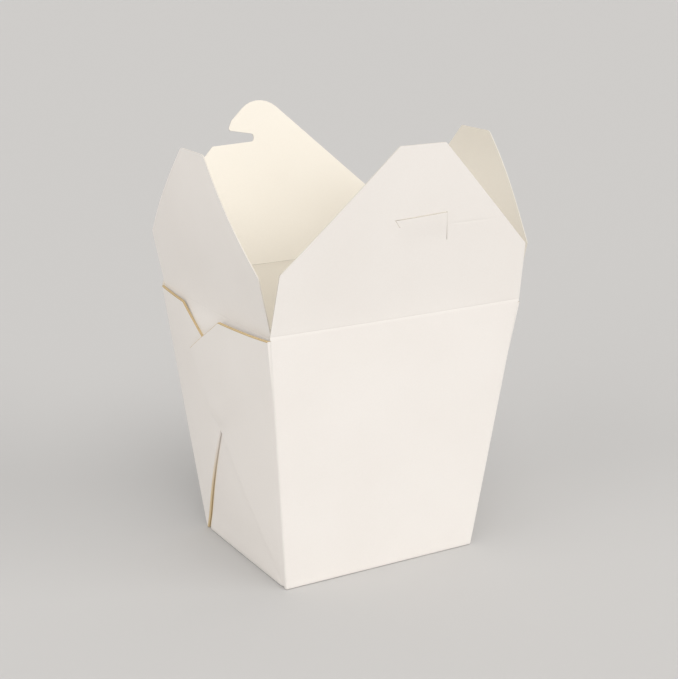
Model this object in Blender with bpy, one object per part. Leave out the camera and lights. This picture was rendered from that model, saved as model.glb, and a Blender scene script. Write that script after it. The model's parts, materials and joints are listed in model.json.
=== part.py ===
"""Noodle takeaway box: an open paperboard pail folded from one blank, in metres, +Z up.

The carton is one solid: a flat base, two wide walls and two narrow walls that lean
outwards, and at each corner a web of board that is folded double and laid back over the
narrow wall. Four flaps hang on live creases along the rim. The front flap has a slit and
the back flap a hooked tab, which lock the box when it is shut.

The origin is the middle of the underside of the base. The wide walls face -Y (front) and
+Y (back), the narrow walls face -X (left) and +X (right).
"""
from math import atan, atan2, cos, degrees, hypot, pi, radians, sin, tan

import bmesh
import bpy
from mathutils import Vector

# Driving dimensions, in metres
BOARD = 0.00045           # thickness of one layer of board
GAP = 0.0003              # clear space left at each crease, between a wall and its flap
BASE_X = 0.0410           # half the base, along X
BASE_Y = 0.0342           # half the base, along Y
LEAN_X = 0.109            # how far a narrow wall runs outwards for each unit of height
LEAN_Y = 0.118            # the same for a wide wall
CREASE_SIDE = 0.0998      # height of the creases of the left and right flaps
CREASE_FRONT = 0.1008     # height of the front crease, which clears the shut side flaps
CREASE_BACK = 0.1025      # height of the back crease, which clears the shut front flap
CORNER_RADIUS = 0.0010    # outer radius of the four upright corner folds
BASE_FOLD = 0.0006        # radius of the folds round the base
SIDE_BOW = 0.0027         # how far the middle of a narrow wall swells outwards
FACE_BOW = 0.0010         # the same for a wide wall

# The folded webs on the narrow walls
WEB_TOP = 0.0991          # height of their top edge, just under the side crease
WEB_BEND = 0.0167         # distance of the top edge's end from the wall's centre line
WEB_START = 0.0334        # distance of the fold's foot from the centre line
WEB = 2 * BOARD           # a web is two layers thick

# The wide flaps, front and back
WIDE_FOOT = 0.0498        # half the flap's width at the crease
WIDE_SHOULDER = (0.0500, 0.0227)
WIDE_TIP = (0.0083, 0.0647)

# The narrow flaps, left and right
NARROW_FOOT = 0.0444
NARROW_SHOULDER = (0.0446, 0.0219)
NARROW_TIP = (0.00845, 0.0591)

CUT_RADIUS = 0.0012       # rounding of the die-cut corners

# The back flap's tab: a shelf, a slot with a round end, and the hook that hangs over it
SHELF_END = 0.0222        # where the shelf meets the flap's slanting edge
SHELF_HEIGHT = 0.0485
SLOT_END = 0.0046         # how far the slot's end stays from the centre line
HOOK_UNDERSIDE = 0.0534
HOOK_POINT = (0.0136, 0.0150)       # the hook's blunt point, at its foot and its top
HOOK_POINT_TOP = 0.0551
HOOK_TOP = (0.0050, 0.0655)
HOOK_TOP_RADIUS = 0.0040
HOOK_POINT_RADIUS = 0.0006

# The slit in the front flap, which the hook slips into: a path of three cuts
SLIT_PATH = ((-0.0056, 0.0352), (-0.0078, 0.0380), (0.0131, 0.0391), (0.0147, 0.0284))
SLIT_WIDTH = 0.0004

INNER_RADIUS = 0.0002     # radius inside the upright corner folds
LEDGE_RISE = 0.00002      # slope of the webs' cut top edge, so that its faces aren't level
CUTTER_REACH = 0.004      # how far a cutter stands out past what it cuts
CUTTER_DROP = 0.003       # how far it runs below the base
SKIN = 0.00005            # least height of a joined patch over the wall
PATCH_INSET = 0.0001      # keeps a joined patch's edges off the edges that it covers

# How far each flap leans out from upright when the box stands open, in degrees
TILT = {"front": 12.3, "back": 14.0, "left": 7.2, "right": 12.0}
HEADING = {"front": 0.0, "right": 90.0, "back": 180.0, "left": -90.0}
CREASE = {"front": CREASE_FRONT, "back": CREASE_BACK, "left": CREASE_SIDE, "right": CREASE_SIDE}

SIDES = ("front", "right", "back", "left")      # anticlockwise from above

# The ridges that face each other across a crease's gap, measured from the crease
RIDGE_TIP = GAP / 2.0
RIDGE_FOOT = RIDGE_TIP + BOARD / 2.0

# Fineness of the curved walls
WALL_COLUMNS = 12
WALL_ROWS = 12
CORNER_STEPS = 3
ARC_STEPS = 5
PATCH_STEP = 0.008
PATCH_PHASE = 0.37        # keeps the grid off the base's own plane and the centre line
RAMP_STEPS = 4


# ---- the walls as surfaces ----

def is_narrow(side):
    return side in ("left", "right")


def half_width(side, z):
    """Half the width of a wall at height z."""
    return BASE_Y + LEAN_Y * z if is_narrow(side) else BASE_X + LEAN_X * z


def bow(side, across, z):
    """How far the wall swells out; across runs from -1 to 1 over its width."""
    rise = min(max(z / CREASE_SIDE, 0.0), 1.0)
    most = SIDE_BOW if is_narrow(side) else FACE_BOW
    return most * (1.0 - across ** 2) * sin(pi * rise ** 1.5)


def wall_distance(side, across, z):
    """Distance from the box's axis to the outside of the folded wall."""
    flat = BASE_X + LEAN_X * z if is_narrow(side) else BASE_Y + LEAN_Y * z
    return flat + bow(side, across, z)


def turned(side, u, distance, z):
    """The point u to the right of a wall's centre line, seen from outside, in world space."""
    heading = radians(HEADING[side])
    return Vector((u * cos(heading) + distance * sin(heading),
                   u * sin(heading) - distance * cos(heading),
                   z))


def wall_point(side, u, z, offset):
    across = u / half_width(side, z)
    return turned(side, u, wall_distance(side, across, z) + offset, z)


# ---- the tub: base and four walls, as rings of points ----

def wall_columns(side, z, own, other, radius):
    """Points across one wall, between its two corner folds."""
    width = half_width(side, z)
    reach = width + other - radius
    points = []
    for i in range(WALL_COLUMNS + 1):
        u = reach * (2.0 * i / WALL_COLUMNS - 1.0)
        points.append(turned(side, u, wall_distance(side, u / width, z) + own, z))
    return points


def corner_points(side, z, own, other, radius):
    """The fold between one wall and the next, anticlockwise from above."""
    centre_u = half_width(side, z) + other - radius
    centre_d = wall_distance(side, 1.0, z) + own - radius
    points = []
    for i in range(1, CORNER_STEPS):
        angle = 0.5 * pi * i / CORNER_STEPS
        points.append(turned(side, centre_u + radius * sin(angle), centre_d + radius * cos(angle), z))
    return points


def ring(height, narrow, wide, radius):
    """One closed ring of points round the box.

    height gives each wall's own z, narrow and wide are the offsets of the narrow and the
    wide walls from the outside of the folded box, and radius is that of the corners.
    """
    points = []
    for i, side in enumerate(SIDES):
        own, other = (narrow, wide) if is_narrow(side) else (wide, narrow)
        corner_z = min(height(side), height(SIDES[(i + 1) % 4]))
        points += wall_columns(side, height(side), own, other, radius)
        points += corner_points(side, corner_z, own, other, radius)
    return points


def level(z):
    """A height rule: the same height on every wall."""
    return lambda side: z


def under_crease(drop):
    """A height rule: a set distance under each wall's crease."""
    return lambda side: CREASE[side] - drop


def tub_rings():
    """Rings from the underside, up the outside, over the rim and down the inside.

    The narrow walls are three layers thick where webs lie on them. Over the webs' top edge
    only the wall's own layer goes on, up to a ridge under each crease.
    """
    rings = []
    for i in range(ARC_STEPS):
        angle = 0.5 * pi * i / (ARC_STEPS - 1)
        inset = BASE_FOLD * (sin(angle) - 1.0)
        rings.append(ring(level(BASE_FOLD * (1.0 - cos(angle))), inset, inset, CORNER_RADIUS))
    for i in range(1, WALL_ROWS + 1):
        z = BASE_FOLD + (WEB_TOP - BASE_FOLD) * i / WALL_ROWS
        rings.append(ring(level(z), 0.0, 0.0, CORNER_RADIUS))
    rings.append(ring(level(WEB_TOP + LEDGE_RISE), -WEB, 0.0, CORNER_RADIUS))
    rings.append(ring(under_crease(RIDGE_FOOT), -WEB, 0.0, CORNER_RADIUS))
    rings.append(ring(under_crease(RIDGE_TIP), -WEB - BOARD / 2.0, -BOARD / 2.0, INNER_RADIUS))
    rings.append(ring(under_crease(RIDGE_FOOT), -WEB - BOARD, -BOARD, INNER_RADIUS))
    for i in range(WALL_ROWS, -1, -1):
        z = BOARD + (WEB_TOP - BOARD) * i / WALL_ROWS
        rings.append(ring(level(z), -WEB - BOARD, -BOARD, INNER_RADIUS))
    return rings


def closed_loft(name, rings):
    """Bridges the rings in turn and caps the first and the last."""
    shape = bmesh.new()
    rows = [[shape.verts.new(point) for point in points] for points in rings]
    count = len(rows[0])
    for low, high in zip(rows, rows[1:]):
        for i in range(count):
            j = (i + 1) % count
            shape.faces.new((low[i], low[j], high[j], high[i]))
    shape.faces.new(list(reversed(rows[0])))
    shape.faces.new(rows[-1])
    return finished(name, shape)


def finished(name, shape):
    """Turns a bmesh into an object in the scene, with its faces pointing out."""
    bmesh.ops.triangulate(shape, faces=[face for face in shape.faces if len(face.verts) > 4])
    bmesh.ops.recalc_face_normals(shape, faces=shape.faces)
    mesh = bpy.data.meshes.new(name)
    shape.to_mesh(mesh)
    shape.free()
    body = bpy.data.objects.new(name, mesh)
    bpy.context.scene.collection.objects.link(body)
    return body


# ---- patches that follow a bowed wall ----

def cut_along(flat, place, normal):
    """Splits the faces of a flat mesh along a line."""
    bmesh.ops.bisect_plane(flat, geom=flat.verts[:] + flat.edges[:] + flat.faces[:],
                           dist=1e-6, plane_co=place, plane_no=normal)


def patch(name, side, outline, low, high, bends=()):
    """A closed slab over an outline of (u, z) points, between two offsets from the wall.

    low and high are numbers, or rules of (u, z). The flat outline is cut along a grid, so
    that the slab can follow the wall's bow, and along each bend, a point and an angle from
    upright.
    """
    flat = bmesh.new()
    flat.faces.new([flat.verts.new((u, z, 0.0)) for u, z in outline])
    for (u, z), angle in bends:
        cut_along(flat, Vector((u, z, 0.0)), Vector((cos(angle), -sin(angle), 0.0)))
    for axis in (0, 1):
        values = [point[axis] for point in outline]
        for step in range(int(min(values) // PATCH_STEP), int(max(values) // PATCH_STEP) + 1):
            place = Vector((0.0, 0.0, 0.0))
            place[axis] = (step + PATCH_PHASE) * PATCH_STEP
            cut_along(flat, place, Vector((1.0 - axis, float(axis), 0.0)))
    bmesh.ops.triangulate(flat, faces=flat.faces[:])
    shape = bmesh.new()
    under, over = {}, {}
    for vert in flat.verts:
        u, z = vert.co.x, vert.co.y
        under[vert] = shape.verts.new(wall_point(side, u, z, low(u, z) if callable(low) else low))
        over[vert] = shape.verts.new(wall_point(side, u, z, high(u, z) if callable(high) else high))
    for face in flat.faces:
        shape.faces.new([over[vert] for vert in face.verts])
        shape.faces.new([under[vert] for vert in reversed(face.verts)])
    for edge in flat.edges:
        if edge.is_boundary:
            a, b = edge.verts
            shape.faces.new((under[a], under[b], over[b], over[a]))
    flat.free()
    return finished(name, shape)


def web_fold():
    """Slope of a web's fold on the narrow wall: sideways run for each unit of height.

    In the flat blank a web fills the angle left between two leaning walls, and its fold
    halves that angle.
    """
    narrow_corner = atan(LEAN_Y / hypot(1.0, LEAN_X))
    wide_corner = atan(LEAN_X / hypot(1.0, LEAN_Y))
    half_web = (0.5 * pi - narrow_corner - wide_corner) / 2.0
    return tan(half_web - narrow_corner)


def web_outline():
    """Where the two webs of a narrow wall cross, their tips, and the notch between them."""
    slope = web_fold()
    crossing = WEB_START / slope
    # the tip edge leaves the end of the top edge square to the fold
    drop = slope
    tip_z = (WEB_TOP - drop * (WEB_BEND - WEB_START)) / (1.0 + drop * slope)
    tip_u = slope * tip_z - WEB_START
    notch_z = WEB_TOP - drop * WEB_BEND
    return slope, crossing, (tip_u, tip_z), notch_z


def bare_wall_cutters(side):
    """What is cut back to the narrow wall's own layer: below the webs and in the notch."""
    slope, crossing, _, notch_z = web_outline()
    below = -CUTTER_DROP
    foot = WEB_START - slope * below
    above = WEB_TOP + 2.0 * GAP
    spread = WEB_BEND + (above - WEB_TOP) / slope
    floor = -WEB + LEDGE_RISE
    lower = [(-foot, below), (foot, below), (0.0, crossing)]
    upper = [(0.0, notch_z), (spread, above), (-spread, above)]
    return [patch("bare_" + side, side, lower, floor, CUTTER_REACH),
            patch("notch_" + side, side, upper, floor, CUTTER_REACH)]


def overlap_patch(side):
    """The front web, where it climbs over the back one and lies two layers higher."""
    slope, crossing, (tip_u, tip_z), _ = web_outline()
    front = 1.0 if side == "left" else -1.0        # which way along the wall is the front
    inset = PATCH_INSET
    far = half_width(side, WEB_TOP) - CUTTER_REACH
    apex = (3.0 * inset, crossing + 6.0 * inset)   # a little clear of the webs' crossing
    corners = [apex, (-tip_u + inset, tip_z),
               (WEB_BEND + inset, WEB_TOP - inset), (far, WEB_TOP - inset)]
    flat_angle = atan2(far, WEB_TOP - crossing)
    full_angle = atan(slope)

    def height(u, z):
        """Rises round the crossing, from the web's own level to the top of the back web."""
        angle = atan2(abs(u), max(z - crossing, 1e-6)) if u * front > 0 else 0.0
        rise = min(max((flat_angle - angle) / (flat_angle - full_angle), 0.0), 1.0)
        return SKIN + (WEB - SKIN) * rise * rise * (3.0 - 2.0 * rise)

    outline = [(u * front, z) for u, z in corners]
    bends = [((0.0, crossing), front * (full_angle + (flat_angle - full_angle) * i / RAMP_STEPS))
             for i in range(RAMP_STEPS)]
    return patch("overlap_" + side, side, outline, -BOARD, height, bends)


def helper(body):
    body.hide_render = True
    body.display_type = "WIRE"
    return body


def combine(body, tool, operation):
    modifier = body.modifiers.new(operation.lower() + "_" + tool.name, "BOOLEAN")
    modifier.operation = operation
    modifier.solver = "EXACT"
    modifier.object = helper(tool)


def make_carton():
    carton = closed_loft("carton", tub_rings())
    for side in ("left", "right"):
        for cutter in bare_wall_cutters(side):
            combine(carton, cutter, "DIFFERENCE")
        combine(carton, overlap_patch(side), "UNION")
    return carton


# ---- the flaps ----

def rounded(corners):
    """An outline whose corners (u, v, radius) are replaced with arcs."""
    points = []
    count = len(corners)
    for i, (u, v, radius) in enumerate(corners):
        here = Vector((u, v))
        if radius == 0.0:
            points.append(here)
            continue
        back = (Vector(corners[i - 1][:2]) - here).normalized()
        ahead = (Vector(corners[(i + 1) % count][:2]) - here).normalized()
        half = back.angle(ahead) / 2.0
        reach = radius / tan(half)
        centre = here + (back + ahead).normalized() * (radius / sin(half))
        start = here + back * reach - centre
        turn = start.angle_signed(here + ahead * reach - centre)
        for k in range(ARC_STEPS + 1):
            angle = -turn * k / ARC_STEPS
            spun = Vector((start.x * cos(angle) - start.y * sin(angle),
                           start.x * sin(angle) + start.y * cos(angle)))
            points.append(centre + spun)
    return points


def flap_outline(foot, shoulder, tip):
    """A plain flap: a straight crease, short upright sides and a cut-off triangle."""
    return [(-foot, 0.0, 0.0), (foot, 0.0, 0.0),
            (*shoulder, CUT_RADIUS), (*tip, CUT_RADIUS),
            (-tip[0], tip[1], CUT_RADIUS), (-shoulder[0], shoulder[1], CUT_RADIUS)]


def hooked_outline():
    """The back flap: one half ends in a shelf, over which the tab hooks back."""
    slot_radius = 0.98 * (HOOK_UNDERSIDE - SHELF_HEIGHT) / 2.0     # all but a half circle
    return [(-WIDE_FOOT, 0.0, 0.0), (WIDE_FOOT, 0.0, 0.0),
            (*WIDE_SHOULDER, CUT_RADIUS),
            (SHELF_END, SHELF_HEIGHT, HOOK_POINT_RADIUS),
            (SLOT_END, SHELF_HEIGHT, slot_radius), (SLOT_END, HOOK_UNDERSIDE, slot_radius),
            (HOOK_POINT[0], HOOK_UNDERSIDE, HOOK_POINT_RADIUS),
            (HOOK_POINT[1], HOOK_POINT_TOP, HOOK_POINT_RADIUS),
            (*HOOK_TOP, HOOK_TOP_RADIUS), (-HOOK_TOP[0], HOOK_TOP[1], HOOK_TOP_RADIUS),
            (-WIDE_SHOULDER[0], WIDE_SHOULDER[1], CUT_RADIUS)]


def make_flap(side, corners):
    """A flat flap whose foot ends in a ridge, so that it can swing either way.

    Its origin is on the crease. In its own frame X runs along the crease, Z up the flap
    and -Y points out of the box.
    """
    outline = rounded(corners)
    shape = bmesh.new()
    layers = []
    for depth, start in ((-BOARD / 2.0, RIDGE_FOOT), (0.0, RIDGE_TIP), (BOARD / 2.0, RIDGE_FOOT)):
        layers.append([shape.verts.new((p.x, depth, p.y if p.y > 0.0 else start)) for p in outline])
    for near, far in zip(layers, layers[1:]):
        for i in range(len(outline)):
            j = (i + 1) % len(outline)
            shape.faces.new((near[i], near[j], far[j], far[i]))
    shape.faces.new(layers[0])
    shape.faces.new(list(reversed(layers[-1])))
    flap = finished("flap_" + side, shape)
    flap.location = crease_point(side)
    flap.rotation_euler = (radians(TILT[side]), 0.0, radians(HEADING[side]))
    return flap


def crease_point(side):
    """The middle of a crease: inside the wall's single layer, half-way through it."""
    depth = WEB + BOARD / 2.0 if is_narrow(side) else BOARD / 2.0
    return turned(side, 0.0, wall_distance(side, 1.0, CREASE[side]) - depth, CREASE[side])


def slit_cutter(flap):
    """The three-sided slit in the front flap, which the hook slips into."""
    path = [Vector(point) for point in SLIT_PATH]
    sides = ([], [])
    for i, point in enumerate(path):
        before = (point - path[i - 1]).normalized() if i else None
        after = (path[i + 1] - point).normalized() if i + 1 < len(path) else None
        ahead = ((before or after) + (after or before)).normalized()
        normal = Vector((-ahead.y, ahead.x))
        spread = SLIT_WIDTH / 2.0 / (abs(ahead.dot(after or before)) or 1.0)
        sides[0].append(point + normal * spread)
        sides[1].append(point - normal * spread)
    outline = sides[0] + sides[1][::-1]
    shape = bmesh.new()
    near = [shape.verts.new((p.x, -CUTTER_REACH, p.y)) for p in outline]
    far = [shape.verts.new((p.x, CUTTER_REACH, p.y)) for p in outline]
    for i in range(len(outline)):
        j = (i + 1) % len(outline)
        shape.faces.new((near[i], near[j], far[j], far[i]))
    shape.faces.new(near)
    shape.faces.new(far[::-1])
    cutter = finished("slit", shape)
    cutter.location = flap.location
    cutter.rotation_euler = flap.rotation_euler
    return cutter


def make_flaps():
    wide = flap_outline(WIDE_FOOT, WIDE_SHOULDER, WIDE_TIP)
    narrow = flap_outline(NARROW_FOOT, NARROW_SHOULDER, NARROW_TIP)
    flaps = {"front": make_flap("front", wide), "back": make_flap("back", hooked_outline()),
             "left": make_flap("left", narrow), "right": make_flap("right", narrow)}
    combine(flaps["front"], slit_cutter(flaps["front"]), "DIFFERENCE")
    return flaps


# ---- the finish ----

def paint(body, colour, roughness):
    material = bpy.data.materials.new(body.name + "_board")
    material.use_nodes = True
    shader = material.node_tree.nodes["Principled BSDF"]
    shader.inputs["Base Color"].default_value = (*colour, 1.0)
    shader.inputs["Roughness"].default_value = roughness
    shader.inputs["Metallic"].default_value = 0.0
    body.data.materials.clear()
    body.data.materials.append(material)


def main():
    for body in list(bpy.data.objects):
        bpy.data.objects.remove(body, do_unlink=True)
    carton = make_carton()
    paint(carton, (0.88, 0.86, 0.83), 0.62)
    flaps = make_flaps()
    paint(flaps["front"], (0.90, 0.88, 0.85), 0.62)
    paint(flaps["back"], (0.88, 0.85, 0.78), 0.55)
    paint(flaps["left"], (0.87, 0.85, 0.81), 0.62)
    paint(flaps["right"], (0.86, 0.82, 0.74), 0.55)
    bpy.context.view_layer.update()
    for side, flap in flaps.items():
        place = [round(1000.0 * value, 3) for value in flap.location]
        print("crease", side, "at", place, "mm, leaning out", TILT[side], "degrees")
    print("web fold leans", round(degrees(atan(web_fold())), 2), "degrees from upright")


main()
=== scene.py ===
# %% [markdown]
# # A noodle takeaway box
#
# A takeaway box of this kind is one sheet of board: a base, four walls, four flaps, and a
# folded web in each corner that makes the tub tight without any glue. It stands here open
# and empty, with its flaps up. The lesson loads the box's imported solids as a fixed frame,
# and dresses them with thin sheets of board that have real folds, cut edges and creases.
#
# Lengths are in metres. +Z is up, and the wide wall with the slit in its flap faces -Y.

# %% Load the frame
import json
from itertools import groupby
from math import atan, atan2, cos, exp, hypot, pi, radians, sin, tan

import bmesh
import bpy
from mathutils import Matrix, Vector


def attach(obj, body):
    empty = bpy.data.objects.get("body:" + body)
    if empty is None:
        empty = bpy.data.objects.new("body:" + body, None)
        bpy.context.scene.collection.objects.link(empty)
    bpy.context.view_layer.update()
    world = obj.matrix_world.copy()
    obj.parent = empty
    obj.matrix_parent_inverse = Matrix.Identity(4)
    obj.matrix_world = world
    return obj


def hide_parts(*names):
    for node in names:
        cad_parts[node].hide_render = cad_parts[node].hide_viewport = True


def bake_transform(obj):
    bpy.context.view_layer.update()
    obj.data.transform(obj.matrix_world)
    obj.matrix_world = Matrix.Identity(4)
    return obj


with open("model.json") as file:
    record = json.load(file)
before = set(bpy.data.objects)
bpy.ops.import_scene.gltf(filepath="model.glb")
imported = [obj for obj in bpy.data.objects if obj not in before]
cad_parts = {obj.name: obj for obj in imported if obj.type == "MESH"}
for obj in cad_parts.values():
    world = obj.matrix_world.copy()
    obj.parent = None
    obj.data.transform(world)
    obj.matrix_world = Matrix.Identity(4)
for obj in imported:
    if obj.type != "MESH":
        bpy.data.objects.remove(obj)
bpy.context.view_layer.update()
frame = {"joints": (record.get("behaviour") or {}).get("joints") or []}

# %% [markdown]
# ## The box's measures
#
# The wide walls (front and back) and the narrow walls (left and right) all lean outwards,
# so that boxes stack in each other before they are filled. Each wall is described by how
# far it stands from the middle of the base, and by how wide it is, at each height. The
# creases of the flaps are read from the frame's joints, and each flap is laid on exactly
# that line.

# %% Walls and creases
BOARD = 0.00042           # thickness of one layer
PITCH = 0.00050           # from one layer of a fold to the next
BASE_X, BASE_Y = 0.0410, 0.0342          # half the base
LEAN_X, LEAN_Y = 0.109, 0.118            # outward run of the walls for each unit of height
HEADING = {"front": 0.0, "right": 90.0, "back": 180.0, "left": -90.0}
TILT = {"front": 12.3, "back": 14.0, "left": 7.2, "right": 12.0}
SIDES = ("front", "right", "back", "left")

joints = {joint["name"]: joint for joint in frame["joints"]}
crease = {side: Vector(joints[side + "_crease"]["pos_m"]) for side in SIDES}
for side in SIDES:
    print(side, "crease is", round(1000 * crease[side].z, 1), "mm up")


def is_narrow(side):
    return side in ("left", "right")


def half_width(side, z):
    """Half the width of a wall at height z, over the corner folds."""
    return BASE_Y + LEAN_Y * z if is_narrow(side) else BASE_X + LEAN_X * z


def turned(side, u, distance, z):
    """A point u to the right of the middle of a wall, seen from outside."""
    heading = radians(HEADING[side])
    return Vector((u * cos(heading) + distance * sin(heading),
                   u * sin(heading) - distance * cos(heading), z))


# %% [markdown]
# ## How the walls swell
#
# Board that has been folded and unfolded never lies quite flat. The narrow walls belly
# outwards, because the webs pull their corners in: they leave the base steeply, and are
# held back again only at their rim. The wide walls hardly swell. One function says how
# far, so that every layer of a wall follows the same curve and no layer cuts through the
# next. Near the rim the webs spring away from the wall that they lie on.

# %% The swell of a wall
RIM = 0.0998                             # height where the narrow walls end
BELLY, BELLY_RISE = 0.0031, 0.0150       # a narrow wall's swell, and how soon it gets there
RIM_START, RIM_LOSS = 0.080, 0.0006      # where the webs turn in again, and by how much
WALL_START, WALL_LOSS = 0.092, 0.0011    # the same for the wall, on top of that
FACE_SWELL = 0.0010                      # the most that a wide wall swells


def ease(share):
    share = min(max(share, 0.0), 1.0)
    return share * share * (3.0 - 2.0 * share)


def swell(side, u, z, web=False):
    """How far a wall stands out from its flat plane."""
    arch = 1.0 - min(abs(u) / half_width(side, z), 1.0) ** 2
    if not is_narrow(side):
        rise = min(max(z / RIM, 0.0), 1.02)
        return FACE_SWELL * rise ** 0.8 * (1.0 - 0.25 * rise ** 3) * arch
    out = BELLY * (1.0 - exp(-max(z, 0.0) / BELLY_RISE))
    out -= RIM_LOSS * ease((z - RIM_START) / (RIM - RIM_START))
    if not web:
        out -= WALL_LOSS * ease((z - WALL_START) / (RIM - WALL_START))
    return out * arch


def on_wall(side, u, z, out, web=False):
    """A point on a wall, out from the outermost face of the folded box."""
    flat = BASE_X + LEAN_X * z if is_narrow(side) else BASE_Y + LEAN_Y * z
    return turned(side, u, flat + swell(side, u, z, web) + out, z)


print("the narrow wall swells", round(1000 * swell("left", 0.0, 0.06), 2), "mm at mid height")

# %% [markdown]
# ## One strip of board round the whole tub
#
# Going round the real box, the board runs along a wide wall, turns the corner, lies on
# the narrow wall as the outer layer of a web, folds back on itself, returns underneath
# as the inner layer, folds again at the corner and then crosses as the narrow wall. So
# the tub is modelled the same way: one row of points follows that path at each height,
# and the rows are joined into a single sheet. Modelling the walls as separate plates
# would be simpler, but the folds would then be missing where light catches them.

# %% Where the webs fold
WEB_TOP = 0.0993                         # the webs' cut top edge, at the corners
WEB_SAG, SAG_START = 0.0010, 0.080       # how much lower it is near the wall's middle
WEB_FOOT = 0.0336                        # the fold's foot, from the wall's middle
WEB_BEND = {"front": 0.0115, "back": 0.0228}      # the end of each top edge, from the wall's middle
LIP, SIDE_LIP = 0.00040, 0.00020         # how far in from a web's cut edges the core colour is painted: bare core, and painted crevice shade
CORNER = 0.00045                         # middle radius of the upright corner folds
NOSE = PITCH / 2.0                       # middle radius where a layer folds back
TUCK_EDGE, TUCK_RISE = 0.004, 0.012      # how soon the narrow wall drops in, sideways and upwards
TUCK_SHARE = 0.9                         # how much of that depth it has made up at the base


def web_lean():
    """Sideways run of a web's fold for each unit of height.

    In the flat sheet a web fills the angle between two leaning walls, and its fold
    halves that angle.
    """
    narrow = atan(LEAN_Y / hypot(1.0, LEAN_X))
    wide = atan(LEAN_X / hypot(1.0, LEAN_Y))
    return tan((0.5 * pi - narrow - wide) / 2.0 - narrow)


LEAN = web_lean()
CROSSING = WEB_FOOT / LEAN               # height where the two webs' folds cross
TIP_Z = {web: (WEB_TOP - LEAN * (bend - WEB_FOOT)) / (1.0 + LEAN * LEAN)
         for web, bend in WEB_BEND.items()}
print("webs cross", round(1000 * CROSSING, 1), "mm up;",
      "their tips are", [round(1000 * tip, 1) for tip in TIP_Z.values()], "mm up")


def web_end(web, z):
    """Where a web ends at height z: at its fold, or above the tip at its cut edge.

    It is measured from the wall's middle, towards the corner that the web comes from.
    """
    if z <= TIP_Z[web]:
        return WEB_FOOT - LEAN * z
    return WEB_BEND[web] - (WEB_TOP - z) / LEAN


def sag(u, z):
    """How much lower a web lies at u than its row, where it nears its top edge."""
    middle = 1.0 - (u / half_width("left", z)) ** 2
    return WEB_SAG * ease((z - SAG_START) / (WEB_TOP - SAG_START)) * middle


def tuck(u, z):
    """How deep the narrow wall lies behind the webs: nearly level with them at the base."""
    bare = ease((web_end("back", z) - abs(u)) / TUCK_EDGE) * (1.0 - ease(z / TUCK_RISE))
    return 2.0 * PITCH * (1.0 - TUCK_SHARE * bare)


def wall_depth(side):
    """How deep a wall's middle layer lies behind the outermost face, near its crease."""
    return BOARD / 2.0 + (2.0 * PITCH if is_narrow(side) else 0.0)


# %% [markdown]
# ## The front web lies on the back one
#
# The two webs of a narrow wall are longer than half of it, so they cross. The front web
# lies on top, and climbs over the folded edge of the back one. The climb fans out from
# the point where the folds cross.

# %% The climb
FULL, FLAT = radians(36.0), radians(66.0)          # the climb ends and starts at these angles
NEAR = 0.007                             # the climb is gentler than this close to the crossing


def climb(u, z):
    """How much higher the front web lies; u runs towards the front corner."""
    above = z - CROSSING
    if above <= 0.0:
        return 0.0
    angle = max(atan2(u, above), 0.0)
    return 2.0 * PITCH * ease((FLAT - angle) / (FLAT - FULL)) * ease(hypot(u, above) / NEAR)


print("the front web climbs", round(1000 * climb(0.0, TIP_Z["front"]), 2), "mm over the back one")

# %% [markdown]
# ## A row of points round the tub
#
# Each row starts in the middle of the front wall and goes round once. The row is made
# from stretches, and each stretch always has the same number of points, so that rows at
# different heights can be joined point to point. Near the base every row is drawn in and
# down, which rounds the fold between the walls and the base.

# %% Stretches of a row
WIDE_POINTS, WEB_POINTS, NARROW_POINTS, TURN_POINTS = 22, 16, 30, 6
BASE_FOLD = 0.0004                       # middle radius of the fold round the base
AIR = 0.00005                            # between the fold at a corner and the layer outside it
SHORTEST = 0.0002                        # the least length of a web's inner layer
DROP_RISE = 0.004                        # height by which a fold's nose has turned square to it


def spread(start, end, count):
    return [start + (end - start) * i / count for i in range(count + 1)]


def base_turn(z):
    """Height and inset of a row, where the walls turn under into the base."""
    if z >= BASE_FOLD:
        return z, 0.0
    angle = 0.5 * pi * (1.0 - z / BASE_FOLD)
    return BASE_FOLD - (BASE_FOLD - BOARD / 2.0) * sin(angle), -BASE_FOLD * (1.0 - cos(angle))


def wide_stretch(side, z):
    height, inset = base_turn(z)
    reach = half_width(side, z) - BOARD / 2.0 - CORNER
    return [on_wall(side, u, height, inset - BOARD / 2.0)
            for u in spread(-reach, reach, 2 * WIDE_POINTS)]


def hand_of(narrow, web):
    """The side of a narrow wall that a web comes from: 1 for the right, -1 for the left."""
    return 1.0 if (narrow == "left") == (web == "front") else -1.0


def inner_reach(narrow, z):
    """How far from its middle a narrow wall reaches, inside the corner folds."""
    return half_width(narrow, z) - BOARD * 1.5 - AIR - NOSE


def corner_stretch(narrow, web, z):
    """The fold from a wide wall to the outer layer of a web, starting at the wide wall."""
    height, inset = base_turn(z)
    width = half_width(narrow, z) - BOARD / 2.0 - CORNER
    points = []
    for i in range(1, 4):
        angle = 0.5 * pi * i / 4.0
        u = hand_of(narrow, web) * (width + (CORNER + inset) * cos(angle))
        out = (CORNER + inset) * sin(angle) - BOARD / 2.0 - CORNER
        points.append(on_wall(narrow, u, height, out))
    return points


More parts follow.
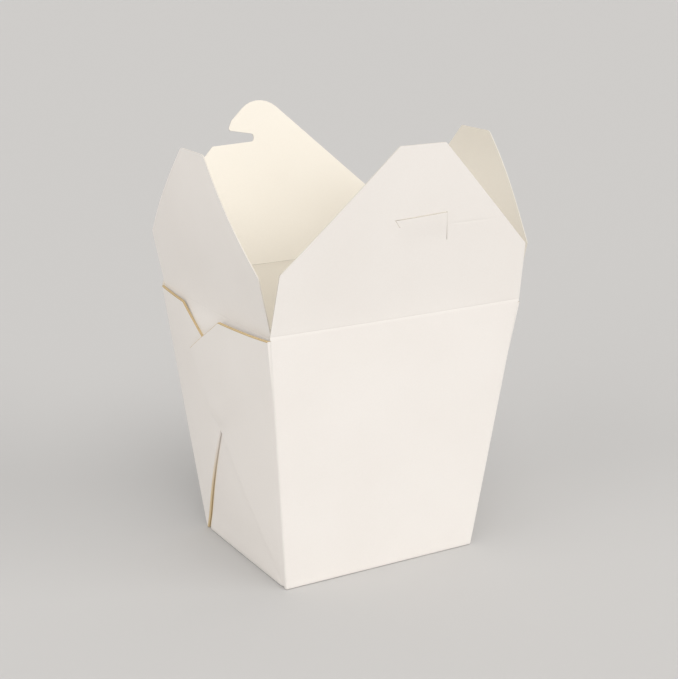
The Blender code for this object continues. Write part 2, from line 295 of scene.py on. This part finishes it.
def web_stretch(narrow, web, z):
    """A web from its corner to its end and back: outer layer, fold, inner layer."""
    height, inset = base_turn(z)
    hand = hand_of(narrow, web)
    start = half_width(narrow, z) - BOARD / 2.0 - CORNER
    back = inner_reach(narrow, z)
    end = min(web_end(web, z), back - SHORTEST)

    def place(u, out, up=0.0):
        lift = climb(u, z) if web == "front" else 0.0
        return on_wall(narrow, hand * u, height + up - sag(u, z), inset + out + lift, web=True)

    outer = [place(u, -BOARD / 2.0) for u in spread(start, end + SIDE_LIP, WEB_POINTS) + [end]]
    turn = []
    level = cos(atan(LEAN))
    drop = LEAN * level * ease(z / DROP_RISE)
    for i in range(1, TURN_POINTS):
        angle = pi * i / TURN_POINTS
        reach = NOSE * sin(angle)
        out = -BOARD / 2.0 - NOSE * (1.0 - cos(angle))
        turn.append(place(end - reach * level, out, -reach * drop))
    inner = [place(u, -BOARD / 2.0 - PITCH) for u in spread(end, back, WEB_POINTS)]
    return outer, turn, inner


def narrow_stretch(narrow, web, z):
    """The fold at the corner and then the narrow wall, from one corner to its middle."""
    height, inset = base_turn(z)
    hand = hand_of(narrow, web)
    back = inner_reach(narrow, z)
    turn = []
    for i in range(1, TURN_POINTS):
        angle = pi * i / TURN_POINTS
        turn.append(on_wall(narrow, hand * (back + NOSE * sin(angle)), height,
                            inset - BOARD / 2.0 - PITCH - NOSE * (1.0 - cos(angle))))
    wall = [on_wall(narrow, hand * u, height, inset - BOARD / 2.0 - tuck(u, z))
            for u in spread(back, 0.0, NARROW_POINTS)]
    return turn, wall


print("a wide wall has", 2 * WIDE_POINTS + 1, "points in a row, a web", 2 * WEB_POINTS + 3)

# %% [markdown]
# ## Joining the rows
#
# The rows are joined with bmesh. Two things change with height. Above a web's tip there
# is no fold any more, only two cut layers, so the faces of the fold are left out there.
# And above the webs' top edge only the walls themselves go on, up to their creases.

# %% The sheet of the tub
LOW_ROWS, BODY_START = [0.0012, 0.0020], 0.003     # rows just above the fold round the base
GROOVE, CREASE_DIP = 0.00035, 0.00006    # half width and depth of the groove of a crease
RIM_STEP, RIM_AIR = 0.0002, 0.0001       # how soon above the webs a wide wall widens, and its air
SHADED_LIP_FACE, RIM_FACE = 1, 2                # marks for the webs' cut edges, painted with core colour and shade, and for the walls' rims
FLAP_FOOT = {"front": 0.0519, "back": 0.0503}     # half the width of a wide wall's flap at its crease


def heights():
    low = spread(0.0, BASE_FOLD, 5)
    body = spread(BODY_START, TIP_Z["back"], 32) + spread(TIP_Z["back"], TIP_Z["front"], 3)[1:]
    top = spread(TIP_Z["front"], WEB_TOP - LIP, 9)[1:]
    return low + LOW_ROWS + body + top + [WEB_TOP]


def quarter(web, narrow, z):
    """A quarter of a row: half the narrow wall's width, from its corner to its middle."""
    outer, turn, inner = web_stretch(narrow, web, z)
    fold, wall = narrow_stretch(narrow, web, z)
    return [("corner", corner_stretch(narrow, web, z)), ("outer", outer),
            (web + " nose", turn), ("inner", inner), ("fold", fold), ("narrow", wall)]


def far_quarter(web, narrow, z):
    """The other way round: from the narrow wall's middle, which is not repeated, to a corner."""
    return [(name, points[::-1][1:] if name == "narrow" else points[::-1])
            for name, points in reversed(quarter(web, narrow, z))]


def row_stretches(z):
    """All stretches of a row in order round the tub, with a name for each."""
    return ([("front", wide_stretch("front", z))]
            + quarter("front", "right", z) + far_quarter("back", "right", z)
            + [("back", wide_stretch("back", z))]
            + quarter("back", "left", z) + far_quarter("front", "left", z))


def put(name, data):
    """A new object in the scene."""
    made = bpy.data.objects.new(name, data)
    bpy.context.scene.collection.objects.link(made)
    return made


def new_object(name, shape):
    mesh = bpy.data.meshes.new(name)
    shape.to_mesh(mesh)
    shape.free()
    return put(name, mesh)


def make_tub():
    """The walls and webs as one sheet, as thin as a surface."""
    shape = bmesh.new()
    shape.faces.layers.int.new("finish")
    previous = None
    for z in heights():
        row, kinds = [], []
        for name, points in row_stretches(z):
            row += [shape.verts.new(point) for point in points]
            kinds += [name] * len(points)
        if previous:
            join_rows(shape, previous, row, kinds, z)
        previous = row
    grow_rims(shape, previous, kinds)
    return shape


def join_rows(shape, low, high, kinds, z):
    """Joins two rows, without the folds of webs whose tip lies below."""
    finish = shape.faces.layers.int["finish"]
    cut = [web + " nose" for web, tip in TIP_Z.items() if z > tip + 1e-6]
    count = len(low)
    for i in range(count):
        j = (i + 1) % count
        if kinds[i] in cut or kinds[j] in cut:
            continue
        face = shape.faces.new((low[i], low[j], high[j], high[i]))
        side_cut = kinds[i - 1] in cut or kinds[(j + 1) % count] in cut
        # The strip along a web's cut edge is marked for the core colour, which also paints the crevice's
        # shade.
        if kinds[i] == kinds[j] == "outer" and (z == WEB_TOP or side_cut):
            face[finish] = SHADED_LIP_FACE


def grow_rims(shape, row, kinds):
    """Carries the walls on from the webs' top edge to their creases."""
    runs = [(name, [vert for _, vert in run])
            for name, run in groupby(zip(kinds, row), key=lambda pair: pair[0])]
    narrow_runs = [verts for name, verts in runs if name == "narrow"]
    for side, verts in runs:
        if side in ("front", "back"):
            carry_up(shape, verts, side)
    for verts, side in zip(narrow_runs, ("right", "left")):
        carry_up(shape, verts, side)


def carry_up(shape, verts, side):
    """Adds a wall's rim row by row; a wide wall also widens to its flap's foot."""
    finish = shape.faces.layers.int["finish"]
    top = crease[side].z
    levels = [(top - GROOVE, 0.0, 1.0), (top, CREASE_DIP, 1.0)]
    if not is_narrow(side):
        row = half_width(side, WEB_TOP) - BOARD / 2.0 - CORNER
        clear = half_width(side, WEB_TOP + RIM_STEP) - RIM_AIR
        levels = [(height, dip, FLAP_FOOT[side] / row) for height, dip, _ in levels]
        levels.insert(0, (WEB_TOP + RIM_STEP, 0.0, clear / row))
    low = verts
    for height, dip, widen in levels:
        high = [shape.verts.new(on_wall(side, along(side, vert.co) * widen, height,
                                        -wall_depth(side) - dip)) for vert in verts]
        for i in range(len(low) - 1):
            shape.faces.new((low[i], low[i + 1], high[i + 1], high[i]))[finish] = RIM_FACE
        low = high


def along(side, point):
    """How far right of a wall's middle a point lies, seen from outside."""
    heading = radians(HEADING[side])
    return point.x * cos(heading) + point.y * sin(heading)


print("the tub is joined from", len(heights()), "rows")

# %% [markdown]
# ## Giving the board its thickness
#
# A Solidify modifier turns the surface into board. Its material offsets put the creamy
# inner face on the inside and the raw core of the board on every cut edge, which is what
# makes paper look like paper. The modifier is applied at once, so that every piece is a
# finished mesh.

# %% Thickness and shading
SHARP = radians(38.0)                    # edges turned more than this stay crisp


def thicken(piece, *materials):
    """Makes a surface into board, with materials for its outside, inside and cut edges."""
    for material in materials:
        piece.data.materials.append(material)
    solidify = piece.modifiers.new("board", "SOLIDIFY")
    solidify.thickness = BOARD
    solidify.offset = 0.0
    solidify.material_offset = 1
    solidify.material_offset_rim = 2
    graph = bpy.context.evaluated_depsgraph_get()
    finished = bpy.data.meshes.new_from_object(piece.evaluated_get(graph))
    piece.modifiers.clear()
    piece.data = finished
    for vert in finished.vertices:
        vert.co.z = max(vert.co.z, 0.0)          # the box stands flat on the table
    finished.shade_smooth()
    finished.set_sharp_from_angle(angle=SHARP)
    print(piece.name, "has", len(finished.polygons), "faces")
    return piece


print("one layer of board is", round(1000 * BOARD, 2), "mm thick")

# %% [markdown]
# ## Board as a material
#
# The outside of the board is coated white and matt; the inside is creamier, with a faint
# sheen from the film that keeps the grease in. Neither is one flat colour. Slow clouds of
# tone run through any sheet of board, and up close the fibres show as fine mottling and
# a slight grain. Noise textures in object space give all of that at the right scale.

# %% Paper materials
def node(tree, kind, **values):
    made = tree.nodes.new(kind)
    for name, value in values.items():
        if name in made.inputs:
            made.inputs[name].default_value = value
        else:
            setattr(made, name, value)
    return made


FOLD_SHADE_OUT, FOLD_SHADE_IN = (0.0003, 0.0), (-0.0012, -0.0008)    # edges of the painted fold shade, from the fold's line
FOLD_SHADE_TOP = 0.25                         # below this share of the crossing's height the painted shade is full


def fold_shade_mask(tree, place):
    """Painted shade in the crevice along the back webs' tight fold, darkest at its foot."""
    spot = node(tree, "ShaderNodeSeparateXYZ")
    tree.links.new(place.outputs["Object"], spot.inputs["Vector"])
    beyond = node(tree, "ShaderNodeMath", operation="MULTIPLY_ADD")
    beyond.inputs[1].default_value = LEAN
    tree.links.new(spot.outputs["Z"], beyond.inputs[0])
    tree.links.new(spot.outputs["Y"], beyond.inputs[2])
    across, up = beyond.outputs["Value"], spot.outputs["Z"]
    mask = None
    for source, start, end in ((across, WEB_FOOT + FOLD_SHADE_OUT[0], WEB_FOOT + FOLD_SHADE_OUT[1]),
                               (across, WEB_FOOT + FOLD_SHADE_IN[0], WEB_FOOT + FOLD_SHADE_IN[1]),
                               (up, CROSSING, FOLD_SHADE_TOP * CROSSING)):
        ranged = node(tree, "ShaderNodeMapRange", interpolation_type="SMOOTHSTEP")
        ranged.inputs["From Min"].default_value = start
        ranged.inputs["From Max"].default_value = end
        tree.links.new(source, ranged.inputs["Value"])
        part = ranged.outputs["Result"]
        if mask:
            both = node(tree, "ShaderNodeMath", operation="MULTIPLY")
            tree.links.new(mask, both.inputs[0])
            tree.links.new(part, both.inputs[1])
            part = both.outputs["Value"]
        mask = part
    return mask


def board_material(name, light, dark, roughness, grain, painted_fold_shade=None):
    """Coated board: cloudy tone, fine mottling, a slight grain in the surface, and painted shade along
    the back webs' folds when asked.
    """
    material = bpy.data.materials.new(name)
    material.use_nodes = True
    tree = material.node_tree
    shader = tree.nodes["Principled BSDF"]
    shader.inputs["Roughness"].default_value = roughness
    shader.inputs["Specular IOR Level"].default_value = 0.35
    place = node(tree, "ShaderNodeTexCoord")
    clouds = node(tree, "ShaderNodeTexNoise", Scale=28.0, Detail=3.0, Roughness=0.5)
    fibres = node(tree, "ShaderNodeTexNoise", Scale=1500.0, Detail=4.0, Roughness=0.65)
    tree.links.new(place.outputs["Object"], clouds.inputs["Vector"])
    tree.links.new(place.outputs["Object"], fibres.inputs["Vector"])
    both = node(tree, "ShaderNodeMix", data_type="FLOAT")
    both.inputs["Factor"].default_value = 0.42
    tree.links.new(clouds.outputs["Fac"], both.inputs["A"])
    tree.links.new(fibres.outputs["Fac"], both.inputs["B"])
    ramp = node(tree, "ShaderNodeValToRGB")
    ramp.color_ramp.elements[0].position = 0.30
    ramp.color_ramp.elements[0].color = (*dark, 1.0)
    ramp.color_ramp.elements[1].position = 0.62
    ramp.color_ramp.elements[1].color = (*light, 1.0)
    tree.links.new(both.outputs["Result"], ramp.inputs["Fac"])
    colour = ramp.outputs["Color"]
    # Painted shade: a warm ochre along the back webs' folds stands in for the crevice's shadow.
    if painted_fold_shade:
        with_fold_shade = node(tree, "ShaderNodeMix", data_type="RGBA")
        tree.links.new(fold_shade_mask(tree, place), with_fold_shade.inputs["Factor"])
        tree.links.new(colour, with_fold_shade.inputs[6])
        with_fold_shade.inputs[7].default_value = (*painted_fold_shade, 1.0)
        colour = with_fold_shade.outputs[2]
    tree.links.new(colour, shader.inputs["Base Color"])
    bump = node(tree, "ShaderNodeBump", Strength=grain, Distance=0.00004)
    tree.links.new(fibres.outputs["Fac"], bump.inputs["Height"])
    tree.links.new(bump.outputs["Normal"], shader.inputs["Normal"])
    return material


coating = ((0.872, 0.838, 0.803), (0.846, 0.808, 0.770), 0.62, 0.10)
white = board_material("white_board", *coating)
# The webs' board has painted shade: warm ochre along the back webs' folds, darkest at the foot, for the
# crevice's shadow.
webbed = board_material("webbed_board", *coating, painted_fold_shade=(0.74, 0.60, 0.37))
cream = board_material("cream_board", (0.848, 0.808, 0.730), (0.824, 0.780, 0.700), 0.50, 0.08)
# The core colour is the bare board core, made dark enough to also paint the shade in the crevices at the
# webs' cut edges.
core_and_shade = board_material("board_core_and_shade", (0.66, 0.51, 0.285), (0.55, 0.41, 0.215), 0.80, 0.25)
pale_core = board_material("pale_core", (0.68, 0.645, 0.585), (0.62, 0.585, 0.525), 0.75, 0.20)
print("materials:", ", ".join(m.name for m in bpy.data.materials))

# %% [markdown]
# ## Bare edges and painted crevice shade
#
# Along a web's cut edges a thin strip is painted in the brown core colour: partly the
# bare core of the cut board, partly painted shade for the crevice between the layers.
# The walls' rims, inside the creases, show a paler core. The sheet was marked for both
# when its rows were joined, so here the marked faces only have to be given their material.

# %% Dress the tub
OUTSIDE, CUT, PALE_CUT = 0, 2, 3         # places in the tub's list of materials

# The tub's outside carries painted shade along the back webs' folds.
tub = thicken(new_object("tub", make_tub()), webbed, cream, core_and_shade, pale_core)
marks = [mark.value for mark in tub.data.attributes["finish"].data]
for polygon, mark in zip(tub.data.polygons, marks):
    # Strips along the webs' cut edges take the core colour: bare core and painted crevice shade.
    if mark == SHADED_LIP_FACE and polygon.material_index == OUTSIDE:
        polygon.material_index = CUT
    elif mark == RIM_FACE and polygon.material_index == CUT:
        polygon.material_index = PALE_CUT
print(marks.count(SHADED_LIP_FACE), "marked faces at the webs' edges,", marks.count(RIM_FACE), "at the rims")
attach(tub, "carton")
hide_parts("carton")


# %% [markdown]
# ## The base
#
# The base is the flat panel that the four walls are folded up from. The walls already
# turn under at their foot, so the base only has to fill the rectangle between them.

# %% Fill the base
BASE_ROWS, BASE_COLUMNS = 44, 10


def make_base():
    shape = bmesh.new()
    half_y = BASE_Y - BOARD / 2.0 - BASE_FOLD
    grid = []
    for y in spread(-half_y, half_y, BASE_ROWS):
        half_x = BASE_X - BOARD / 2.0 - tuck(y, 0.0) - BASE_FOLD
        grid.append([shape.verts.new((x, y, BOARD / 2.0))
                     for x in spread(-half_x, half_x, BASE_COLUMNS)])
    for low, high in zip(grid, grid[1:]):
        for i in range(BASE_COLUMNS):
            shape.faces.new((low[i], high[i], high[i + 1], low[i + 1]))
    return shape


base = thicken(new_object("base", make_base()), white, cream, core_and_shade)
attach(base, "carton")

# %% [markdown]
# ## The flaps
#
# Each flap is cut from the same sheet as the wall below it, and hangs on its crease. The
# cutting die leaves small round corners. The outline is drawn flat, cut along a grid so
# that the sheet can curve, and then laid on the crease: the foot follows the swell of the
# wall, and the rest cups slightly, as board does.

# %% Flat outlines
FRONT_SHOULDER, FRONT_TIP, BACK_SHOULDER = (0.0504, 0.0227), (0.0092, 0.0646), (0.0494, 0.0227)
NARROW_FOOT, NARROW_SHOULDER, NARROW_TIP = 0.0449, (0.0448, 0.0221), (0.0092, 0.0590)
CUT_RADIUS, BLUNT_RADIUS, WORN_RADIUS = 0.0012, 0.0024, 0.0030       # of the cut corners


def rounded(corners):
    """An outline whose corners (u, v, radius) are replaced with arcs."""
    points = []
    for i, (u, v, radius) in enumerate(corners):
        here = Vector((u, v))
        if radius == 0.0:
            points.append(here)
            continue
        back = (Vector(corners[i - 1][:2]) - here).normalized()
        ahead = (Vector(corners[(i + 1) % len(corners)][:2]) - here).normalized()
        half = back.angle(ahead) / 2.0
        centre = here + (back + ahead).normalized() * (radius / sin(half))
        start = here + back * (radius / tan(half)) - centre
        turn = start.angle_signed(here + ahead * (radius / tan(half)) - centre)
        steps = max(4, int(abs(turn) * 5.0))
        for k in range(steps + 1):
            angle = -turn * k / steps
            points.append(centre + Vector((start.x * cos(angle) - start.y * sin(angle),
                                           start.x * sin(angle) + start.y * cos(angle))))
    return points


def plain_outline(foot, shoulder, tip, right_radius=CUT_RADIUS, left_radius=CUT_RADIUS):
    return [(-foot, 0.0, 0.0), (foot, 0.0, 0.0), (*shoulder, CUT_RADIUS), (*tip, right_radius),
            (-tip[0], tip[1], left_radius), (-shoulder[0], shoulder[1], CUT_RADIUS)]


SHELF_END, SHELF_HEIGHT, SLOT_END, SLOT_HEIGHT = 0.0230, 0.0484, 0.0044, 0.0030
HOOK_POINT, HOOK_NECK, HOOK_TOP = (0.0153, 0.0542), (0.0134, 0.0579), (0.0002, 0.0693)
HOOK_ARCH = 0.0116                       # radius of the hook's round top
SHELF_SLOPE = 0.0007                     # how much higher the shelf is at the slot
SHELF_RADIUS, POINT_RADIUS, NECK_RADIUS = 0.0010, 0.0009, 0.0040
SLOT_RADIUS = 0.47 * SLOT_HEIGHT         # all but round


def hooked_outline():
    """The back flap: one half ends in a shelf, and the hook hangs over it."""
    shelf = SHELF_HEIGHT + SHELF_SLOPE
    foot = FLAP_FOOT["back"]
    return [(-foot, 0.0, 0.0), (foot, 0.0, 0.0), (*BACK_SHOULDER, CUT_RADIUS),
            (SHELF_END, SHELF_HEIGHT, SHELF_RADIUS),
            (SLOT_END, shelf, SLOT_RADIUS), (SLOT_END, shelf + SLOT_HEIGHT, SLOT_RADIUS),
            (*HOOK_POINT, POINT_RADIUS), (*HOOK_NECK, NECK_RADIUS), (*HOOK_TOP, HOOK_ARCH),
            (-BACK_SHOULDER[0], BACK_SHOULDER[1], CUT_RADIUS)]


print("the back flap is cut with", len(rounded(hooked_outline())), "points")

# %% [markdown]
# ## The slit
#
# The front flap has a three-sided slit, which the hook slips into when the box is shut.
# It is a real cut through the sheet: its two banks are part of the outline from which
# the flap is filled.

# %% The slit's banks
SLIT_PATH = ((-0.0056, 0.0352), (-0.0078, 0.0380), (0.0131, 0.0391), (0.0147, 0.0284))
SLIT_WIDTH = 0.00024                     # no wider than the blade that cut it


def slit_outline():
    path = [Vector(point) for point in SLIT_PATH]
    left, right = [], []
    for i, point in enumerate(path):
        before = (point - path[i - 1]).normalized() if i else None
        after = (path[i + 1] - point).normalized() if i + 1 < len(path) else None
        ahead = ((before or after) + (after or before)).normalized()
        normal = Vector((-ahead.y, ahead.x))
        reach = SLIT_WIDTH / 2.0 / abs(ahead.dot(after or before))
        left.append(point + normal * reach)
        right.append(point - normal * reach)
    return left + right[::-1]


print("the slit's banks have", len(slit_outline()), "points")

# %% Fill, grid and lay a flap
FLAP_CUTS = (GROOVE, 0.0007, 0.0011, 0.0015, 0.0020, 0.0030, 0.0045, 0.0065, 0.009)
SCORE_V = 0.0344                         # how far up the front flap's score is
SCORE_CUTS = (0.0336, 0.0340, SCORE_V, 0.0348, 0.0352)
GRID_START, GRID_ROWS, GRID_COLUMNS = 0.012, 14, 26
GRID_SHIFT = 0.000013                    # keeps the grid off the outline's own points


def cut_line(flat, axis, value):
    place, normal = Vector((0.0, 0.0, 0.0)), Vector((0.0, 0.0, 0.0))
    place[axis] = value
    normal[axis] = 1.0
    bmesh.ops.bisect_plane(flat, geom=flat.verts[:] + flat.edges[:] + flat.faces[:],
                           dist=1e-7, plane_co=place, plane_no=normal)


def loop_edges(flat, points):
    verts = [flat.verts.new((point.x, point.y, 0.0)) for point in points]
    return [flat.edges.new((verts[i], verts[(i + 1) % len(verts)])) for i in range(len(verts))]


def flat_sheet(outline, hole=None):
    """The flap as it is cut from the flat board, with a grid over it."""
    flat = bmesh.new()
    edges = loop_edges(flat, outline)
    if hole:
        edges += loop_edges(flat, hole)
    bmesh.ops.triangle_fill(flat, edges=edges, use_beauty=True, use_dissolve=False)
    us = [point.x for point in outline]
    vs = [point.y for point in outline]
    for value in spread(min(us), max(us), GRID_COLUMNS)[1:-1]:
        cut_line(flat, 0, value + GRID_SHIFT)
    rows = [*FLAP_CUTS, *spread(GRID_START, max(vs), GRID_ROWS)[:-1], *(SCORE_CUTS if hole else ())]
    for value in rows:
        cut_line(flat, 1, value)
    flat.normal_update()
    for face in flat.faces:
        if face.normal.z < 0.0:
            face.normal_flip()
    return flat


CUP = {"front": 0.0007, "back": 0.0002, "left": 0.0002, "right": 0.0004}    # only in the middle
ARCH = {"front": 0.0, "back": 0.0, "left": 0.0021, "right": 0.0015}         # over the whole width
ARCH_RISE = {"front": 1.0, "back": 1.0, "left": 1.2, "right": 2.0}         # how high up it is fullest
FADE = 0.008                             # how quickly a flap's foot loses the wall's swell


def lay_on_crease(side, flat, askew=0.0, relief=None):
    """Bends the flat sheet onto its crease; askew swings the top along the crease."""
    tilt = radians(TILT[side])
    top = max(vert.co.y for vert in flat.verts)
    for vert in flat.verts:
        u, v = vert.co.x, vert.co.y
        across = min(abs(u) / half_width(side, crease[side].z), 1.0)
        foot = on_wall(side, u, crease[side].z, -wall_depth(side) - CREASE_DIP)
        lost = swell(side, u, crease[side].z) * (1.0 - exp(-v / FADE))
        groove = CREASE_DIP * min(v / GROOVE, 1.0)
        share = min(v / top, 1.0)
        bent = CUP[side] * (1.0 - across ** 2) * sin(pi * share)
        bent += ARCH[side] * sin(pi * share ** ARCH_RISE[side])
        if relief:
            bent += relief(u, v)
        swing = askew * share
        held = min(v / GRID_START, 1.0)
        u, v = u * cos(swing) + v * sin(swing), v * cos(swing) - u * sin(swing) * held
        out = bent + groove - lost
        vert.co = foot + turned(side, u - along(side, foot), v * sin(tilt) + out * cos(tilt), 0.0)
        vert.co.z = foot.z + v * cos(tilt) - out * sin(tilt)
    return flat


def dress_flap(side, outline, outside, inside, edge, hole=None, askew=0.0, relief=None):
    flat = lay_on_crease(side, flat_sheet(rounded(outline), hole), askew, relief)
    flap = thicken(new_object(side + "_flap_board", flat), outside, inside, edge)
    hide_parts("flap_" + side)
    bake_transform(flap)
    return flap


# %% [markdown]
# ## Marks on the front flap
#
# A score runs part of the way across the front flap, level with the slit, where the flap
# is meant to give when the hook is pushed in; it fades out towards the right. The tongue
# inside the slit was pushed once by the cutting die, and stands a little proud.

# %% Score and tongue
SCORE_DEPTH, SCORE_WIDTH = 0.00007, 0.0004
SCORE_START, SCORE_END = (0.0150, 0.002), (0.0390, 0.016)    # where it starts and ends, how softly
TONGUE, TONGUE_FOOT, TONGUE_RISE, TONGUE_EDGE = 0.00032, 0.0285, 0.009, 0.006
TOP_SLOPE, LEFT_SLOPE, RIGHT_SLOPE = 0.053, 0.8, 0.15        # of the slit's three sides


def front_relief(u, v):
    """How far a point of the front flap stands out, from the score and from the tongue."""
    score = SCORE_DEPTH * max(0.0, 1.0 - abs(v - SCORE_V) / SCORE_WIDTH)
    score *= ease((u - SCORE_START[0]) / SCORE_START[1]) * ease((SCORE_END[0] - u) / SCORE_END[1])
    (left, low), (right, high) = SLIT_PATH[1:3]
    inside = (left + LEFT_SLOPE * (low - v) < u < right + RIGHT_SLOPE * (high - v)
              and v < low + (u - left) * TOP_SLOPE)
    if not inside:
        return -score
    return TONGUE * ease((v - TONGUE_FOOT) / TONGUE_RISE) * ease((u - left) / TONGUE_EDGE) - score


print("the score is", round(1000 * SCORE_DEPTH, 2), "mm deep, the tongue stands",
      round(1000 * TONGUE, 2), "mm proud")

# %% Dress the flaps
front_outline = plain_outline(FLAP_FOOT["front"], FRONT_SHOULDER, FRONT_TIP)
left_outline = plain_outline(NARROW_FOOT, NARROW_SHOULDER, NARROW_TIP, BLUNT_RADIUS, BLUNT_RADIUS)
right_outline = plain_outline(NARROW_FOOT, NARROW_SHOULDER, NARROW_TIP, CUT_RADIUS, WORN_RADIUS)
dress_flap("front", front_outline, white, cream, pale_core, hole=slit_outline(),
           relief=front_relief)
dress_flap("back", hooked_outline(), white, cream, pale_core)
dress_flap("left", left_outline, white, cream, pale_core, askew=radians(0.4))
dress_flap("right", right_outline, white, cream, pale_core)

# %% [markdown]
# ## Floor, light and camera
#
# A plain pale floor and soft light suit a pale matt thing. Four broad lamps are enough: a
# low key to the right of the camera gives the front wall its brightness; a weaker fill
# keeps the narrow wall on the left one step darker, so that the corner between them
# reads; one shines over the front flap into the box; and a faint one from above and behind
# lifts the floor. More from above would burn the shut lid out to plain white.

# %% The floor
REACH, FLOOR_Z = 8.0, -0.0001            # the floor lies just clear of the base
floor_mesh = bpy.data.meshes.new("floor")
floor_mesh.from_pydata([(-REACH, -REACH, FLOOR_Z), (REACH, -REACH, FLOOR_Z),
                        (REACH, REACH, FLOOR_Z), (-REACH, REACH, FLOOR_Z)], [], [(0, 1, 2, 3)])
floor = put("floor", floor_mesh)
floor_paint = bpy.data.materials.new("floor_paint")
floor_paint.use_nodes = True
floor_shader = floor_paint.node_tree.nodes["Principled BSDF"]
floor_shader.inputs["Base Color"].default_value = (0.54, 0.535, 0.53, 1.0)
floor_shader.inputs["Roughness"].default_value = 0.9
floor_mesh.materials.append(floor_paint)
print("the floor is", 2.0 * REACH, "m wide")


# %% Lamps
def softbox(name, azimuth, elevation, width, strength, colour):
    """A broad, distant lamp; width is the angle that it fills, seen from the box."""
    light = bpy.data.lights.new(name, "SUN")
    light.angle = width
    light.energy = strength
    light.color = colour
    lamp = put(name, light)
    away = Vector((sin(azimuth) * cos(elevation), -cos(azimuth) * cos(elevation), sin(elevation)))
    lamp.location = away * 2.0
    lamp.rotation_euler = away.to_track_quat("Z", "Y").to_euler()
    print(name, "lamp of strength", strength)


softbox("key", radians(38), radians(22), radians(46), 1.11, (1.0, 0.983, 0.962))
softbox("fill", radians(-75), radians(25), radians(50), 0.80, (1.0, 0.980, 0.955))
softbox("top", radians(160), radians(72), radians(50), 0.40, (1.0, 0.985, 0.965))
softbox("inside", radians(-16), radians(52), radians(36), 1.08, (1.0, 0.985, 0.965))

world = bpy.data.worlds.new("studio")
bpy.context.scene.world = world
world.use_nodes = True
world.node_tree.nodes["Background"].inputs["Color"].default_value = (1.0, 0.983, 0.962, 1.0)
world.node_tree.nodes["Background"].inputs["Strength"].default_value = 0.50
bpy.context.scene.view_settings.view_transform = "Standard"

# %% [markdown]
# ## The camera
#
# The camera stands a little left of the front wall and looks slightly down, through a
# lens long enough to keep the upright corners nearly parallel.

# %% Camera
AZIMUTH, ELEVATION, ROLL = radians(-29.8), radians(16.1), radians(-0.22)
AIM = Vector((0.0, 0.0, 0.063))
DISTANCE, SIDE_STEP, UP_STEP = 0.577, 0.001067, 0.01742

camera_data = bpy.data.cameras.new("camera")
camera_data.lens = 79.05
camera_data.sensor_width = 36.0
camera_data.clip_start = 0.01
camera = put("camera", camera_data)
away = Vector((sin(AZIMUTH) * cos(ELEVATION), -cos(AZIMUTH) * cos(ELEVATION), sin(ELEVATION)))
level_right = (-away).cross(Vector((0.0, 0.0, 1.0))).normalized()
level_up = level_right.cross(-away)
right = level_right * cos(ROLL) + level_up * sin(ROLL)
up = level_up * cos(ROLL) - level_right * sin(ROLL)
turn = Matrix((right, up, away)).transposed().to_4x4()
camera.matrix_world = Matrix.Translation(AIM + away * DISTANCE + right * SIDE_STEP + up * UP_STEP) @ turn
bpy.context.scene.camera = camera
print("camera at", [round(v, 3) for v in camera.location])
